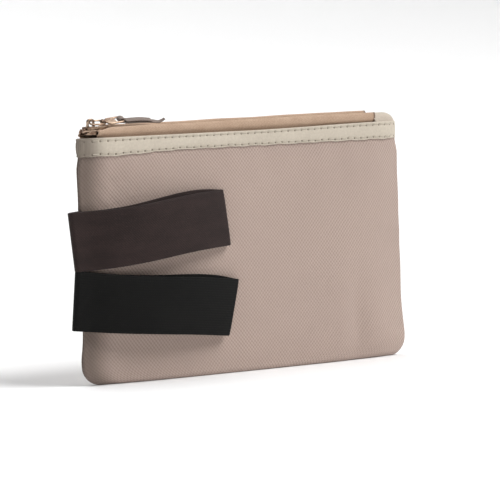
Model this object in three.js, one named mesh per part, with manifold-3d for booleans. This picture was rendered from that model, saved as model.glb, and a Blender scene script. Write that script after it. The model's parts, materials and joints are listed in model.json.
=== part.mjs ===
// A zipped cash deposit bag: a flat fabric pouch that stands on a narrow base, closed by a coil zip
// along its top edge. Two wide elastic loops are sewn into its left side seam and folded over the front.
// Millimetres. +X runs from the loops' side to the zip's far end, -Y is the front, +Z is up, and the
// origin is the centre of the base's underside.
import * as THREE from "three";
import { mergeVertices } from "three/addons/utils/BufferGeometryUtils.js";
import Module from "manifold-3d";

const wasm = await Module();
wasm.setup();

// ---- Driving dimensions -------------------------------------------------------------------------
const fit = 0.3; // clearance kept between pieces that touch or slide

const bagWidth = 198; // over the side seams
const bagHeight = 130; // from the base to the panels' top edges
const baseDepth = 14; // front to back, on the surface it stands on
const mouthDepth = 12.8; // front to back, at the panels' top edges
const swell = 3; // how much further each panel bows out at mid height
const cornerRadius = 9; // of the bottom corners, seen from the front
const cornerFlare = 1.6; // how far the bottom corners spread past the side seams
const cornerFlareHeight = 12; // height of the widest part of that spread
const cornerFlareReach = 10; // how far up and down it fades
const pillowPower = 4; // low: the panels round off early towards the side seams
const mouthRound = 6.1875; // how soon in from the side seams the mouth reaches its full depth
const squareReach = 40; // below the top edge, where the section starts to turn from one to the other

const panelThick = 1.2;
const liningThick = 0.4;
const baseEnd = 3; // the base stops this far short of where the bottom corners start to rise
const liningInset = 0.93; // the lining's share of the half width
const liningFloorGap = 0.6; // from the base's upper face to the lining's floor
const liningShort = 14; // the lining's top edge, below the panels' top edges

const bandWidth = 10; // the ribbon sewn along each panel's top edge
const bandThick = 0.6;
const stitchInset = 1.5; // from the ribbon's edge to the middle of a row of stitches
const threadWidth = 0.5;
const threadThick = 0.4;
const threadReach = 0.97; // the rows' share of the half width

const chainWidth = 4.4; // both coils together
const coilHeight = 2.1;
const chainRise = 2.65; // the coils' centre line, above the panels' top edges
const chainShort = 16.8; // the coils stop this far short of the far side seam
const tapeThick = 0.6;
const tapeHidden = 13; // how far the tape runs down behind its panel
const tapeGap = 0.6; // between the tape and its panel
const tapeShort = 3; // the tapes start this far in from the near side seam
const ridgeRise = 5.6; // the tape's ridge beside the coil, above the panel's top edge
const ridgeWidth = 1.5; // of the ridge, outside its walls
const ridgeShort = 1.5; // from the near side seam to where the ridge has sunk away
const ridgeSlope = 16.5; // length over which it sinks
const frontRidgeShort = 10.4; // nearer the seam than this, the front tape is only a lip at the slider
const stopLength = 1.4;
const stopWidth = 1.6;
const stapleShort = 3.5; // the bottom stop, a staple over both coils, starts this far from their end
const stapleLength = 2;
const stapleThick = 0.4;

const tabShort = 1.4; // the fabric tab over the zip's far end stops this far from the side seam
const tabThick = 1;
const tabRise = 5.1; // above the panels' top edges
const tabRound = 8; // radius of the bag's top corner
const tabCornerShort = 1; // the tab's end stops this far short of the round's own end
const tabShoulder = 0.55; // low: a flat top with tight shoulders

const sliderLength = 11;
const sliderWidth = 7.4;
const sliderWaist = 6.2; // width at the closed chain's end
const sliderPlate = 0.8;
const sliderStart = 5; // from the near side seam to the slider, with the zip closed
const flangeThick = 0.8;
const tapeSlot = 1.3;
const postLength = 2.8; // the wedge that parts the coils
const postWidth = 2;
const crownStart = 1.6; // from the slider's near end to the crown
const crownLength = 4.2;
const crownHeight = 3.8;
const crownWidth = 1.8;
const crownThick = 0.8;
const crownRound = 1.6; // of its upper corners

const pivotStart = 1.5; // from the crown's near end to the pull's pivot under it
const pivotRise = 2; // above the slider's top plate
const pullRoll = 25; // degrees that the pull leans to the front, about its own length
const linkLength = 8.9;
const linkWidth = 5.6;
const pullWire = 1; // thickness of the link and of the tab's edges
const knuckleBore = 0.95; // radius of the tab's eye around the link
const knuckleRadius = 1.45;
const knuckleWidth = 2.6;
const pullTabLength = 11; // from the eye's centre
const pullTabWidth = 6.6;
const pullTabTilt = 7; // degrees
const neckLength = 1.4; // between the eye and the tab's body
const neckOverlap = 0.3;
const tailSlot = 3.4;
const tailWidth = 3.6;
const tailThick = 0.7;

const elasticWidth = 30;
const elasticThick = 1.1;
const loopSewnIn = 4; // the loops' ends inside the side seam
const layerGap = 0.15; // between a loop's two layers where they lie together
const foldOut = 3.6; // from the side seam to the middle of the fold beside it
const foldY = -2.3;
const foldRadius = 0.5; // inside the fold
const loopRest = 0.4; // from the panel to the inner layer
const loopBulge = 6; // how far the layers spring apart
const loopEndGap = 1.9; // between the layers' middles at the far fold
const upperLoop = { height: 75.6, tilt: 5.5, length: 85.1 };
const lowerLoop = { height: 44.8, tilt: -6, length: 88.1 };

// ---- Places that follow from them ---------------------------------------------------------------
const seamX = bagWidth / 2;
const chainMiddle = bagHeight + chainRise;
const chainRight = seamX - chainShort;
const tapeLeft = tapeShort - seamX;
const ridgeLeft = ridgeShort - seamX;
const frontRidgeLeft = frontRidgeShort - seamX;
const squareFrom = bagHeight - squareReach;
const mouthPower = seamX / mouthRound; // high: the top edges stay full depth almost to the seams
const sliderLeft = sliderStart - seamX;
const sliderMiddle = sliderLeft + sliderLength / 2;
const sliderRight = sliderLeft + sliderLength;
const crownLeft = sliderLeft + crownStart;
const pullPivotX = crownLeft + pivotStart;
const foldX = -seamX - foldOut;

// ---- Shape of the bag ---------------------------------------------------------------------------
const seamHalf = panelThick + fit / 2; // half the bag's depth at the side seams
const halfTurn = Math.PI;
const degrees = Math.PI / 180;

// Half the bag's width at a height, with rounded and slightly spread bottom corners.
function halfWidth(z) {
  const flare = cornerFlare * Math.exp(-(((z - cornerFlareHeight) / cornerFlareReach) ** 2));
  const drop = Math.max(0, cornerRadius - z);
  return seamX - cornerRadius + Math.sqrt(cornerRadius ** 2 - drop ** 2) + flare;
}

// Half the bag's depth at a point of a panel.
function halfDepth(x, z) {
  const level = Math.min(z / bagHeight, 1);
  const ends = (mouthDepth * level + baseDepth * (1 - level)) / 2;
  const middle = ends + swell * Math.sin(halfTurn * level);
  const squared = Math.max(0, (z - squareFrom) / (bagHeight - squareFrom)) ** 2;
  const power = pillowPower + (mouthPower - pillowPower) * Math.min(squared, 1);
  const across = Math.min(Math.abs(x) / halfWidth(Math.min(z, bagHeight)), 1);
  return seamHalf + (middle - seamHalf) * (1 - across ** power);
}

// A place between two ends of the bag's width, at a share from 0 to 1. Even steps of the share crowd
// towards the side seams, where the panels curve most.
function across(left, right, share, half = seamX) {
  return half * Math.sin(mix(Math.asin(left / half), Math.asin(right / half), share));
}

// ---- Helpers ------------------------------------------------------------------------------------
// A closed sheet. place(u, v, side) gives the point at u and v from 0 to 1, on the face with the
// lower Y (side 0) or the higher Y (side 1).
function sheet(columns, rows, place) {
  const geometry = new THREE.BoxGeometry(1, 1, 1, columns, 1, rows);
  const position = geometry.getAttribute("position");
  for (let i = 0; i < position.count; i++) {
    const u = position.getX(i) + 0.5;
    const side = position.getY(i) + 0.5;
    const v = position.getZ(i) + 0.5;
    position.setXYZ(i, ...place(u, v, side));
  }
  return geometry;
}

function mix(a, b, share) {
  return a + (b - a) * share;
}

function block(x0, x1, y0, y1, z0, z1) {
  const geometry = new THREE.BoxGeometry(x1 - x0, y1 - y0, z1 - z0);
  return geometry.translate((x0 + x1) / 2, (y0 + y1) / 2, (z0 + z1) / 2);
}

function toSolid(geometry) {
  const bare = new THREE.BufferGeometry();
  bare.setAttribute("position", geometry.getAttribute("position"));
  bare.setIndex(geometry.getIndex());
  const merged = mergeVertices(bare, 1e-4);
  const vertProperties = new Float32Array(merged.getAttribute("position").array);
  const triVerts = new Uint32Array(merged.getIndex().array);
  return new wasm.Manifold(new wasm.Mesh({ numProp: 3, vertProperties, triVerts }));
}

function toGeometry(solid) {
  const mesh = solid.getMesh();
  const geometry = new THREE.BufferGeometry();
  geometry.setAttribute("position", new THREE.BufferAttribute(mesh.vertProperties, 3));
  geometry.setIndex(new THREE.BufferAttribute(mesh.triVerts, 1));
  return geometry;
}

function joined(...geometries) {
  return toGeometry(geometries.map(toSolid).reduce((whole, next) => whole.add(next)));
}

function cut(geometry, ...cutters) {
  const solid = toSolid(geometry);
  return toGeometry(cutters.map(toSolid).reduce((whole, next) => whole.subtract(next), solid));
}

// A shape drawn in X and Y, as a plate from z0 up.
function plate(shape, z0, thick, curveSegments = 12) {
  const options = { depth: thick, bevelEnabled: false, curveSegments };
  return new THREE.ExtrudeGeometry(shape, options).translate(0, 0, z0);
}

// A shape drawn in X and Z, as a bar centred on the XZ plane.
function bar(shape, width, curveSegments = 12) {
  const options = { depth: width, bevelEnabled: false, curveSegments };
  return new THREE.ExtrudeGeometry(shape, options).translate(0, 0, -width / 2).rotateX(halfTurn / 2);
}

// The outline of a strip of even thickness that follows a line of points.
function stripShape(points, thick) {
  const sides = [1, -1].map((side) =>
    points.map((point, i) => {
      const before = points[Math.max(i - 1, 0)];
      const after = points[Math.min(i + 1, points.length - 1)];
      const along = after.clone().sub(before).normalize();
      return new THREE.Vector2(-along.y, along.x).multiplyScalar((side * thick) / 2).add(point);
    }),
  );
  return new THREE.Shape([...sides[0], ...sides[1].reverse()]);
}

// ---- Materials ----------------------------------------------------------------------------------
const outerFabric = new THREE.MeshStandardMaterial({ color: 0xb7a398, roughness: 0.85, metalness: 0 });
const liningFabric = new THREE.MeshStandardMaterial({ color: 0x6f6259, roughness: 0.8, metalness: 0 });
const ribbon = new THREE.MeshStandardMaterial({ color: 0xcdc2b3, roughness: 0.75, metalness: 0 });
const thread = new THREE.MeshStandardMaterial({ color: 0xa89d90, roughness: 0.7, metalness: 0 });
const zipTape = new THREE.MeshStandardMaterial({ color: 0xbca793, roughness: 0.8, metalness: 0 });
const zipCoil = new THREE.MeshStandardMaterial({ color: 0xb79c84, roughness: 0.45, metalness: 0 });
const sliderMetal = new THREE.MeshStandardMaterial({ color: 0xbfa892, roughness: 0.35, metalness: 0.6 });
const tailFabric = new THREE.MeshStandardMaterial({ color: 0x897c75, roughness: 0.85, metalness: 0 });
const brownElastic = new THREE.MeshStandardMaterial({ color: 0x372c2a, roughness: 0.7, metalness: 0 });
const blackElastic = new THREE.MeshStandardMaterial({ color: 0x1c1b19, roughness: 0.75, metalness: 0 });

// ---- Panels and lining --------------------------------------------------------------------------
// A panel's wall on the front side: z from low to high, its outer face set in from the bag's outside.
function wall(columns, rows, low, high, share, inset, thick) {
  return sheet(columns, rows, (u, v, side) => {
    const z = mix(low, high, v ** 1.6); // rows crowd towards the rounded bottom corners
    const half = halfWidth(z);
    const x = across(-half, half, u, half) * share;
    return [x, -(halfDepth(x, z) - inset - side * thick), z];
  });
}

// The floor between two walls, from inside the front wall to just short of the back one.
function floor(reach, inset, wallThick, z0, thick) {
  const steps = 16;
  const xs = Array.from({ length: steps + 1 }, (_, i) => across(-reach, reach, i / steps));
  const front = xs.map((x) => new THREE.Vector2(x, -(halfDepth(x, z0) - inset - wallThick / 2)));
  const back = xs.map((x) => new THREE.Vector2(x, halfDepth(x, z0) - inset - wallThick - fit));
  return plate(new THREE.Shape([...front, ...back.reverse()]), z0, thick);
}

const panelWall = wall(26, 12, 0, bagHeight, 1, 0, panelThick);
const baseReach = seamX - cornerRadius - baseEnd;
const baseFloor = floor(baseReach, 0, panelThick, 0, panelThick);
const frontPanel = joined(panelWall, baseFloor);

const liningInsetDepth = panelThick + fit;
const liningFloor = panelThick + liningFloorGap;
const liningTop = bagHeight - liningShort;
const liningWall = wall(20, 8, liningFloor, liningTop, liningInset, liningInsetDepth, liningThick);
const liningReach = baseReach * liningInset;
const liningBottom = floor(liningReach, liningInsetDepth, liningThick, liningFloor, liningThick);
const frontLining = joined(liningWall, liningBottom);

// ---- Ribbon band and its two rows of stitches ---------------------------------------------------
const bandBottom = bagHeight - bandWidth;

// A strip laid on the front panel: from z0 to z1, its inner face this far out from the panel.
function laidStrip(columns, share, z0, z1, lift, thick) {
  return sheet(columns, 1, (u, v, side) => {
    const z = mix(z0, z1, v);
    const half = halfWidth(z);
    const x = across(-half, half, u, half) * share;
    return [x, -(halfDepth(x, z) + lift + (1 - side) * thick), z];
  });
}

const band = laidStrip(30, 1, bandBottom, bagHeight, fit, bandThick);

function stitchRow(middle) {
  const lift = fit + bandThick + fit;
  const low = middle - threadWidth / 2;
  return laidStrip(30, threadReach, low, low + threadWidth, lift, threadThick);
}

const upperStitches = stitchRow(bagHeight - stitchInset);
const lowerStitches = stitchRow(bandBottom + stitchInset);

// ---- Zip: tapes, coils and stops ----------------------------------------------------------------
const coilOuter = chainWidth / 2;
const lipTop = chainMiddle + tapeThick / 2;
const lipEdge = coilOuter + fit;
const besideSlider = sliderWidth / 2 + 2 * fit; // the ridge's inner wall
const ridgeOut = besideSlider + ridgeWidth;
const tapeRight = chainRight + fit;

function limit(value, low, high) {
  return Math.min(Math.max(value, low), high);
}

// The tape's outer face behind its panel.
function hiddenTape(x, z) {
  return halfDepth(x, z) - panelThick - tapeGap;
}

const tapeSpread = besideSlider + fit - hiddenTape(sliderLeft, bagHeight);

// The tape runs up behind the panel, leans out past its top edge, folds over in a ridge and dips to
// the coil. The ridge sinks towards the slider's end.
function tapePoint(x, v, side) {
  const hidden = (z) => hiddenTape(x, z);
  const outer = Math.min(ridgeOut, hidden(bagHeight) + tapeSpread);
  const inner = Math.min(besideSlider, outer - 1.5 * tapeThick);
  const lip = Math.min(besideSlider - tapeThick / 2, inner - tapeThick / 4);
  const ridge = bagHeight + ridgeRise * limit((x - ridgeLeft) / ridgeSlope, 0, 1);
  const upright = limit((ridge - lipTop) / (2 * tapeThick), 0, 1);
  const shoulder = Math.max(ridge - 2 * tapeThick, bagHeight + tapeThick / 2);
  const rows = [
    [hidden(bagHeight - tapeHidden), bagHeight - tapeHidden, 1, 0],
    [hidden(bagHeight - tapeHidden / 2), bagHeight - tapeHidden / 2, 1, 0],
    [hidden(bagHeight), bagHeight, 1, 0],
    [outer, shoulder, 1, 0],
    [(outer + inner) / 2, ridge, 0, 1],
    [inner, mix(ridge, lipTop, 1 / 2), -upright, 1 - upright],
    [lip, lipTop, -upright / 2, 1],
    [lipEdge, lipTop, 0, 1],
  ];
  const [y, z, inward, down] = rows[Math.round(v * (rows.length - 1))];
  return [x, -(y - side * tapeThick * inward), z - side * tapeThick * down];
}

const tape = sheet(26, 7, (u, v, side) => tapePoint(across(tapeLeft, tapeRight, u), v, side));

// The tape without its ridge in front of the slider, where only its lip runs on.
function cutBesideSlider(whole) {
  const near = -(besideSlider - tapeThick / 2);
  const high = bagHeight + bandWidth;
  return cut(whole, block(tapeLeft - 1, frontRidgeLeft, -baseDepth, near, bagHeight - 1, high));
}

const postRight = sliderLeft + fit + postLength;
const coilLow = chainMiddle - coilHeight / 2;
const coilHigh = chainMiddle + coilHeight / 2;
const coil = block(postRight + fit, chainRight, -coilOuter, -fit / 2, coilLow, coilHigh);

const stopRight = sliderLeft - fit;
const stopLeft = stopRight - stopLength;
const topStop = block(stopLeft, stopRight, -coilOuter, stopWidth - coilOuter, coilLow, coilHigh);

function staple() {
  const stapleLeft = chainRight - stapleShort;
  const right = stapleLeft + stapleLength;
  const under = coilHigh + fit;
  const outer = lipEdge + stapleThick;
  const top = block(stapleLeft, right, -outer, outer, under, under + stapleThick);
  const legs = [-1, 1].map((side) => {
    const near = side > 0 ? lipEdge : -outer;
    return block(stapleLeft, right, near, near + stapleThick, lipTop + fit, under + stapleThick);
  });
  return joined(top, ...legs);
}

// ---- Fabric tab over the zip's far end ----------------------------------------------------------
function endTab() {
  const left = tapeRight + fit;
  const low = bagHeight + fit;
  const right = seamX - tabShort;
  const roundFrom = right - tabRound + tabCornerShort;
  return sheet(8, 10, (u, v, side) => {
    const x = mix(left, right, u);
    const past = Math.max(0, x - roundFrom);
    const top = tabRise - (tabRound - Math.sqrt(tabRound ** 2 - past ** 2));
    const inset = (1 - side) * tabThick;
    const angle = halfTurn * v;
    const y = (halfDepth(x, bagHeight) + fit - inset) * Math.cos(angle);
    const z = low + (top - inset) * Math.sin(angle) ** tabShoulder;
    return [x, y, z];
  });
}

// ---- Slider -------------------------------------------------------------------------------------
const slotLow = chainMiddle - tapeSlot / 2;
const slotHigh = chainMiddle + tapeSlot / 2;
const topPlateLow = coilHigh + fit;
const topPlateHigh = topPlateLow + sliderPlate;
const bottomPlateHigh = coilLow - fit;
const bottomPlateLow = bottomPlateHigh - sliderPlate;
const pullPivotZ = topPlateHigh + pivotRise;

// A plan outline that is widest at the end that parts the coils.
function sliderOutline(inset) {
  const wide = sliderWidth / 2 - inset;
  const waist = sliderWaist / 2 - inset;
  const shape = new THREE.Shape();
  shape.moveTo(sliderLeft + wide / 3, -wide);
  shape.quadraticCurveTo(sliderLeft, -wide, sliderLeft, -wide / 2);
  shape.lineTo(sliderLeft, wide / 2);
  shape.quadraticCurveTo(sliderLeft, wide, sliderLeft + wide / 3, wide);
  shape.lineTo(sliderMiddle, wide);
  shape.quadraticCurveTo(sliderMiddle + waist / 2, waist, sliderRight, waist);
  shape.lineTo(sliderRight, -waist);
  shape.quadraticCurveTo(sliderMiddle + waist / 2, -waist, sliderMiddle, -wide);
  return shape;
}

function sliderBody() {
  const whole = plate(sliderOutline(0), bottomPlateLow, topPlateHigh - bottomPlateLow, 4);
  const channelHalf = sliderWidth / 2 - flangeThick;
  const waistHalf = sliderWaist / 2 - flangeThick / 2;
  const left = sliderLeft - 1;
  const right = sliderRight + 1;
  const channel = block(left, right, -waistHalf, waistHalf, bottomPlateHigh, topPlateLow);
  const throat = block(left, sliderMiddle, -channelHalf, channelHalf, bottomPlateHigh, topPlateLow);
  const slots = block(left, right, -sliderWidth, sliderWidth, slotLow, slotHigh);
  const hollow = cut(whole, channel, throat, slots);
  const postLeft = sliderLeft + fit;
  const post = block(postLeft, postRight, -postWidth / 2, postWidth / 2, bottomPlateLow, topPlateHigh);
  return joined(hollow, post);
}

// The arch that holds the pull's link, with its feet just over the top plate.
function sliderCrown() {
  const low = topPlateHigh + fit;
  const right = crownLeft + crownLength;
  const arch = (inset, foot) => {
    const top = low + crownHeight - inset;
    const bend = crownRound - inset / 2;
    const shape = new THREE.Shape();
    shape.moveTo(crownLeft + inset, foot);
    shape.lineTo(right - inset, foot);
    shape.lineTo(right - inset, top - bend);
    shape.quadraticCurveTo(right - inset, top, right - inset - bend, top);
    shape.lineTo(crownLeft + inset + bend, top);
    shape.quadraticCurveTo(crownLeft + inset, top, crownLeft + inset, top - bend);
    return shape;
  };
  const opening = bar(arch(crownThick, low - 1), crownWidth + 1, 5);
  return cut(bar(arch(0, low), crownWidth, 5), opening);
}

// ---- Pull: link, tab and ribbon tail ------------------------------------------------------------
// These are drawn level with the pull's pivot at height 0, then leaned to the front together.
const linkRight = pullPivotX - pullWire / 2 + linkLength;
const tabPivotX = linkRight - pullWire / 2;

function pullLink() {
  const left = pullPivotX - pullWire / 2;
  const side = linkWidth / 2;
  const half = pullWire / 2;
  const whole = block(left, linkRight, -side, side, -half, half);
  const inside = block(left + pullWire, linkRight - pullWire, pullWire - side, side - pullWire, -1, 1);
  return cut(whole, inside);
}

// The tab is drawn flat from its eye at the origin, then tilted and moved to the link.
function pullTab() {
  const half = pullWire / 2;
  const start = knuckleRadius - half / 2;
  const side = pullTabWidth / 2;
  const slotRight = pullTabLength - pullWire;
  const knuckle = new THREE.Shape();
  knuckle.absarc(0, 0, knuckleRadius, 0, 2 * halfTurn);
  knuckle.holes.push(new THREE.Path().absarc(0, 0, knuckleBore, 0, 2 * halfTurn, true));
  const bodyStart = start + neckLength - neckOverlap;
  const neck = block(start, start + neckLength, -knuckleWidth / 2, knuckleWidth / 2, -half, half);
  const body = block(bodyStart, pullTabLength, -side, side, -half, half);
  const slotSide = tailWidth / 2 + fit;
  const slot = block(slotRight - tailSlot, slotRight, -slotSide, slotSide, -1, 1);
  const flat = cut(joined(bar(knuckle, knuckleWidth, 5), neck, body), slot);
  return flat.rotateY(-pullTabTilt * degrees).translate(tabPivotX, 0, 0);
}

const tailReach = pullTabLength - pullWire / 2;
const tailPivotX = tabPivotX + tailReach * Math.cos(pullTabTilt * degrees);
const tailPivotRise = tailReach * Math.sin(pullTabTilt * degrees);

// A ribbon threaded through the tab's slot: its two ends lie along the zip, the lower one longer.
// It lies just high enough to pass over the end tab.
function pullTail() {
  const dip = (tailWidth / 2) * Math.sin(pullRoll * degrees);
  const low = bagHeight + fit + tabRise + tailThick / 2 + dip - pullPivotZ;
  const gap = tailThick + fit / 2;
  const route = [
    [25.6, low + 1.2],
    [23.6, low + 0.2],
    [21.6, low],
    [10, low],
    [4, low + 0.1],
    [0.6, tailPivotRise - 1.35],
    [-1.6, tailPivotRise - 1],
    [-2.1, tailPivotRise + 0.2],
    [-1.1, tailPivotRise + 1.1],
    [0.6, tailPivotRise + 1.1],
    [2.6, tailPivotRise + 0.3],
    [5.5, low + gap + 0.1],
    [12, low + gap],
    [18.6, low + gap + 0.1],
  ].map(([x, z]) => new THREE.Vector3(tailPivotX + x, z, 0));
  const line = new THREE.CatmullRomCurve3(route).getPoints(56);
  const flat = line.map((point) => new THREE.Vector2(point.x, point.y));
  return bar(stripShape(flat, tailThick), tailWidth);
}

// ---- Elastic loops ------------------------------------------------------------------------------
const pileThick = 2 * elasticThick + layerGap; // both layers lying together
const innerLayerY = foldY - foldRadius - elasticThick / 2;
const outerLayerY = innerLayerY - elasticThick - layerGap;

// The hairpin that lies over the front: inner layer out to the far fold and outer layer back.
function loopBand(loop) {
  const left = foldX + fit;
  const end = foldX + loop.length;
  const steps = 16;
  const shares = Array.from({ length: steps + 1 }, (_, i) => i / steps);
  const reach = elasticWidth / 2 + loop.length * Math.abs(Math.sin(loop.tilt * degrees));
  const heights = shares.map((s) => mix(loop.height - reach, loop.height + reach, s));
  const deepest = (x) => Math.max(...heights.map((z) => halfDepth(x, z)));
  const rest = (x) => Math.min(innerLayerY, -(deepest(x) + loopRest + elasticThick / 2));
  const spread = outerLayerY - innerLayerY;
  const inner = shares.map((s) => {
    const x = mix(left, end, s);
    return new THREE.Vector2(x, rest(x));
  });
  const outer = shares.map((s) => {
    const x = mix(left, end, s);
    const apart = mix(spread, -loopEndGap, s) - loopBulge * Math.sin(halfTurn * s) ** 0.8;
    return new THREE.Vector2(x, rest(x) + apart);
  });
  const turnY = rest(end) - loopEndGap / 2;
  const turn = [1, 2, 3, 4, 5].map((i) => {
    const angle = halfTurn / 2 - (halfTurn * i) / 6;
    const x = end + (loopEndGap / 2) * Math.cos(angle);
    return new THREE.Vector2(x, turnY + (loopEndGap / 2) * Math.sin(angle));
  });
  const section = stripShape([...inner, ...turn, ...outer.reverse()], elasticThick);
  return plate(section, -elasticWidth / 2, elasticWidth);
}

// Both layers from the side seam to the end of the fold beside it.
function loopRoot() {
  const outer = foldRadius + pileThick;
  const seam = loopSewnIn - seamX;
  const section = new THREE.Shape();
  section.moveTo(seam, foldY + outer);
  section.lineTo(foldX, foldY + outer);
  section.absarc(foldX, foldY, outer, halfTurn / 2, (3 * halfTurn) / 2, false);
  section.lineTo(foldX, foldY - foldRadius);
  section.absarc(foldX, foldY, foldRadius, (3 * halfTurn) / 2, halfTurn / 2, true);
  section.lineTo(seam, foldY + foldRadius);
  return plate(section, -elasticWidth / 2, elasticWidth, 8);
}

// Tilts a loop's piece about its fold and lifts it to its height on the seam.
function placed(geometry, loop) {
  const flat = geometry.translate(-foldX, 0, 0).rotateY(-loop.tilt * degrees);
  return flat.translate(foldX, 0, loop.height);
}

function seamed(loop) {
  const edge = -seamX - fit;
  const low = loop.height - elasticWidth;
  const high = loop.height + elasticWidth;
  const besideBag = block(edge, edge + 2 * loopSewnIn, -baseDepth, baseDepth, low, high);
  return cut(placed(loopRoot(), loop), besideBag);
}

// ---- Assembly -----------------------------------------------------------------------------------
const bag = new THREE.Group();

function add(name, geometry, material, parent = bag) {
  const mesh = new THREE.Mesh(geometry, material);
  mesh.name = name;
  parent.add(mesh);
  return mesh;
}

// The back half's pieces are the front half's mirrored front to back.
const backHalf = new THREE.Group();
backHalf.scale.y = -1;
bag.add(backHalf);

add("front_panel", frontPanel, outerFabric);
add("back_panel", panelWall, outerFabric, backHalf);
add("front_lining", frontLining, liningFabric);
add("back_lining", liningWall, liningFabric, backHalf);
for (const [side, half, ownTape] of [["front", bag, cutBesideSlider(tape)], ["back", backHalf, tape]]) {
  add(side + "_ribbon_band", band, ribbon, half);
  add(side + "_upper_stitches", upperStitches, thread, half);
  add(side + "_lower_stitches", lowerStitches, thread, half);
  add(side + "_zip_tape", ownTape, zipTape, half);
  add(side + "_zip_coil", coil, zipCoil, half);
  add(side + "_top_stop", topStop, sliderMetal, half);
}
add("bottom_stop", staple(), sliderMetal);
add("zip_end_tab", endTab(), ribbon);
add("slider_body", sliderBody(), sliderMetal);
add("slider_crown", sliderCrown(), sliderMetal);

const pull = new THREE.Group();
pull.position.z = pullPivotZ;
pull.rotation.x = pullRoll * degrees;
bag.add(pull);
add("pull_link", pullLink(), sliderMetal, pull);
add("pull_tab", pullTab(), sliderMetal, pull);
add("pull_tail", pullTail(), tailFabric, pull);

add("upper_loop", placed(loopBand(upperLoop), upperLoop), brownElastic);
add("upper_loop_root", seamed(upperLoop), brownElastic);
add("lower_loop", placed(loopBand(lowerLoop), lowerLoop), blackElastic);
add("lower_loop_root", seamed(lowerLoop), blackElastic);

export default bag;
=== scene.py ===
"""Looks for a zipped cash deposit bag: two soft jacquard panels, a ribbon-bound mouth, a coil zip with
its slider and fabric pull, and two elastic loops sewn into one side seam.

Shapes are worked out in millimetres and written to the meshes in metres. +X runs from the loops' side
to the zip's far end, -Y is the front and +Z is up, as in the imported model.
"""
import json
import math

import bmesh
import bpy
from mathutils import Matrix, Vector, noise


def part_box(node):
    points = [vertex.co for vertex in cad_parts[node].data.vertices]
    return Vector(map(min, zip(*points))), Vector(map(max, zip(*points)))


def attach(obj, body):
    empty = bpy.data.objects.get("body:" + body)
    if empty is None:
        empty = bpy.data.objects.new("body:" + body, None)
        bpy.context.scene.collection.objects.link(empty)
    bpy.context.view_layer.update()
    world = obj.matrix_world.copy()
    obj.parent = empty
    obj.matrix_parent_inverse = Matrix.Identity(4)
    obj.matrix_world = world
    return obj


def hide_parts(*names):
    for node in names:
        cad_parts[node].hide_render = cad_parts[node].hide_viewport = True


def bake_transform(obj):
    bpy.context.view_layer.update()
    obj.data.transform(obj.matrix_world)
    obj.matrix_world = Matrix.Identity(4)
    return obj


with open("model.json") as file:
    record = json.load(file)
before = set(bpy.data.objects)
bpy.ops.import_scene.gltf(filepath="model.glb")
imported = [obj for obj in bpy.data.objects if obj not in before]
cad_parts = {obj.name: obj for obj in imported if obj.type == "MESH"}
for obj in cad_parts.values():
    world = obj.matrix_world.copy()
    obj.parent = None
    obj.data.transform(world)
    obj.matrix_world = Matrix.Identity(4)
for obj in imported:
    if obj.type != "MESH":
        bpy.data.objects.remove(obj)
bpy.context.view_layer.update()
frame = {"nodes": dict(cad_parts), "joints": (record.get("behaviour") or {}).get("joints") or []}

MM = 0.001
FRONT = -1
BACK = 1


def lerp(a, b, t):
    return a + (b - a) * t


def clamp(t, low=0.0, high=1.0):
    return max(low, min(high, t))


def smooth(t):
    t = clamp(t)
    return t * t * (3 - 2 * t)


def steps(count):
    return [i / count for i in range(count + 1)]


def box_mm(node):
    low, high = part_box(node)
    return low / MM, high / MM


# ---- The bag's shape ----
BAND_LOW, BAND_HIGH = box_mm("front_ribbon_band")
COIL_LOW, COIL_HIGH = box_mm("front_zip_coil")
TAPE_LOW, TAPE_HIGH = box_mm("front_zip_tape")
BAG_HALF = BAND_HIGH.x  # half the bag's width at its straight sides
BAG_HEIGHT = box_mm("front_panel")[1].z
BASE_HALF_DEPTH = 7.0
MOUTH_HALF_DEPTH = 6.4
SWELL = 3.0  # how far mid-height stands out beyond the base and the mouth
CORNER_RADIUS = 9.0
CORNER_FLARE = 1.6  # how far the sides bow out above the lower corners
FLARE_HEIGHT = 12.0
FLARE_REACH = 10.0
PILLOW_POWER = 4  # how square the bag is seen from above, low down and at the mouth
MOUTH_POWER = 16
SQUARE_FROM = 90.0  # the height where it starts to turn square
SEAM_HALF = 1.35
PANEL_THICK = 1.2

SEAM_ROLL = 2.0  # radius of the turn into the side seam
SEAM_TURN = math.radians(130)
ROLL_SHARE = 0.03  # share of a panel's columns that lies in that turn
FLAT_TO = 1 - ROLL_SHARE
CROWDING = 0.35  # how strongly the columns crowd towards the seams
HEM_ROLL = 2.6  # radius of the turn under the lower edge
MOUTH_NIP = 1.3  # how far the ribbon draws each side in at the mouth

BAND_THICK = 0.7
BAND_SUNK = 1.3  # at its lowest the ribbon's fold lies this much below the band's full height
BAND_TRIM = 0.4  # its lower edge lies this much above the band's foot
BAND_DROOP = 1.5  # and sags by this much at the loops' end
STITCH_PITCH = 4.2
STITCH_GAP = 1.1  # the dimple between two stitches
ROW_SHARES = (0.13, 0.9)  # where the stitch rows lie, as shares of the ribbon's height
THREAD_RADIUS = 0.23
HOLE_DEPTH = 0.4
HOLE_LENGTH = 0.62
HOLE_WIDTH = 0.55
RIBBON_PLUMP = 0.22  # how far the ribbon swells between its stitch rows
ROW_DIP = 0.1
FOLD_SLACK = 0.6  # between the ribbon's two layers at its fold
CLOTH_TOP = BAG_HEIGHT - BAND_SUNK - 0.6

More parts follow.
